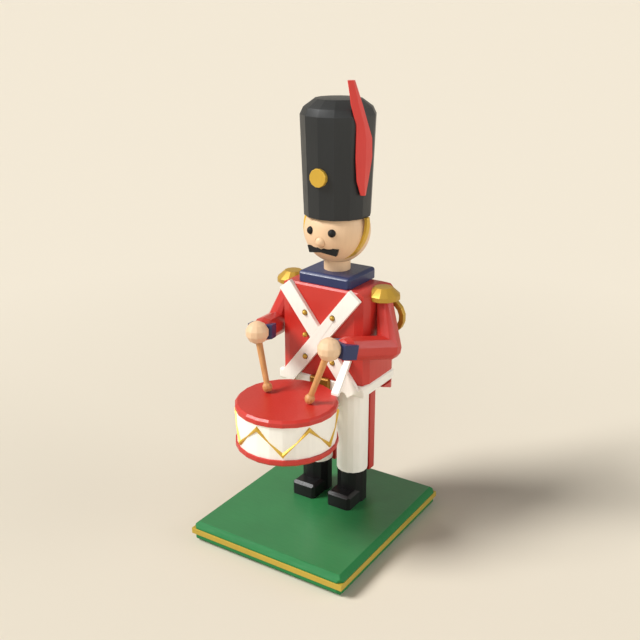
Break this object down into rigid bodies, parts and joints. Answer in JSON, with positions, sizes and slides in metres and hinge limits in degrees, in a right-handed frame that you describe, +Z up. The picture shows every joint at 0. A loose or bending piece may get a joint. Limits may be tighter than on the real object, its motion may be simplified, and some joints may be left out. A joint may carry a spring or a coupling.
{
  "type": "toy soldier figure",
  "caption": "Painted wooden toy soldier drummer in a red coat and tall black hat on a stepped green and gold plinth, with arms that swing and a head that turns.",
  "frame": {"origin": "centre of the plinth's underside", "axes": "+Z up, the soldier faces -Y and the soldier's left side is +X"},
  "size_m": [0.1, 0.1149, 0.2544],
  "materials": {
    "green_paint": "satin paint",
    "gold_paint": "satin metallic gold paint",
    "brass": "polished",
    "steel": "plain",
    "black_gloss_paint": "gloss paint",
    "white_paint": "satin paint, warm white",
    "red_paint": "satin paint",
    "navy_paint": "satin paint",
    "skin_paint": "satin paint",
    "charcoal_paint": "satin paint",
    "bare_wood": "bare, sanded"
  },
  "bodies": {
    "soldier": {"plinth_foot": "green_paint", "plinth_trim": "gold_paint", "plinth_cap": "green_paint", "base_screws": "steel", "left_boot": "black_gloss_paint", "right_boot": "black_gloss_paint", "left_trouser_leg": "white_paint", "right_trouser_leg": "white_paint", "leg_dowels": "bare_wood", "coat": "red_paint", "left_coat_tail": "red_paint", "right_coat_tail": "red_paint", "collar": "navy_paint", "waist_belt": "white_paint", "belt_buckle": "gold_paint", "left_cross_belt": "white_paint", "right_cross_belt": "white_paint", "coat_buttons": "brass", "drum_sling": "white_paint", "drum_pegs": "white_paint", "drum_shell": "white_paint", "drum_top": "red_paint", "drum_bottom": "red_paint", "drum_lacing": "gold_paint", "shoulder_dowels": "bare_wood", "left_epaulette": "gold_paint", "right_epaulette": "gold_paint", "shoulder_cord": "gold_paint"},
    "head_and_hat": {"neck": "skin_paint", "head": "skin_paint", "eyes": "black_gloss_paint", "nose": "skin_paint", "moustache": "black_gloss_paint", "chin_strap": "gold_paint", "hat_dowel": "bare_wood", "hat": "charcoal_paint", "cockade": "gold_paint", "plume": "red_paint"},
    "left_arm_and_stick": {"left_arm": "red_paint", "left_cuff": "navy_paint", "left_hand": "skin_paint", "left_wrist_dowel": "bare_wood", "left_drumstick": "bare_wood"},
    "right_arm_and_stick": {"right_arm": "red_paint", "right_cuff": "navy_paint", "right_hand": "skin_paint", "right_wrist_dowel": "bare_wood", "right_drumstick": "bare_wood"}
  },
  "joints": [
    {"name": "head_turn", "type": "hinge", "parent": "soldier", "child": "head_and_hat", "pos_m": [0, 0.0195, 0.1511], "axis": [0, 0, 1], "continuous": true},
    {"name": "left_arm_swing", "type": "hinge", "parent": "soldier", "child": "left_arm_and_stick", "pos_m": [0.0315, 0.0195, 0.1379], "axis": [-1, 0, 0], "range_deg": [0, 40]},
    {"name": "right_arm_swing", "type": "hinge", "parent": "soldier", "child": "right_arm_and_stick", "pos_m": [-0.0315, 0.0195, 0.1379], "axis": [-1, 0, 0], "range_deg": [0, 40]}
  ]
}
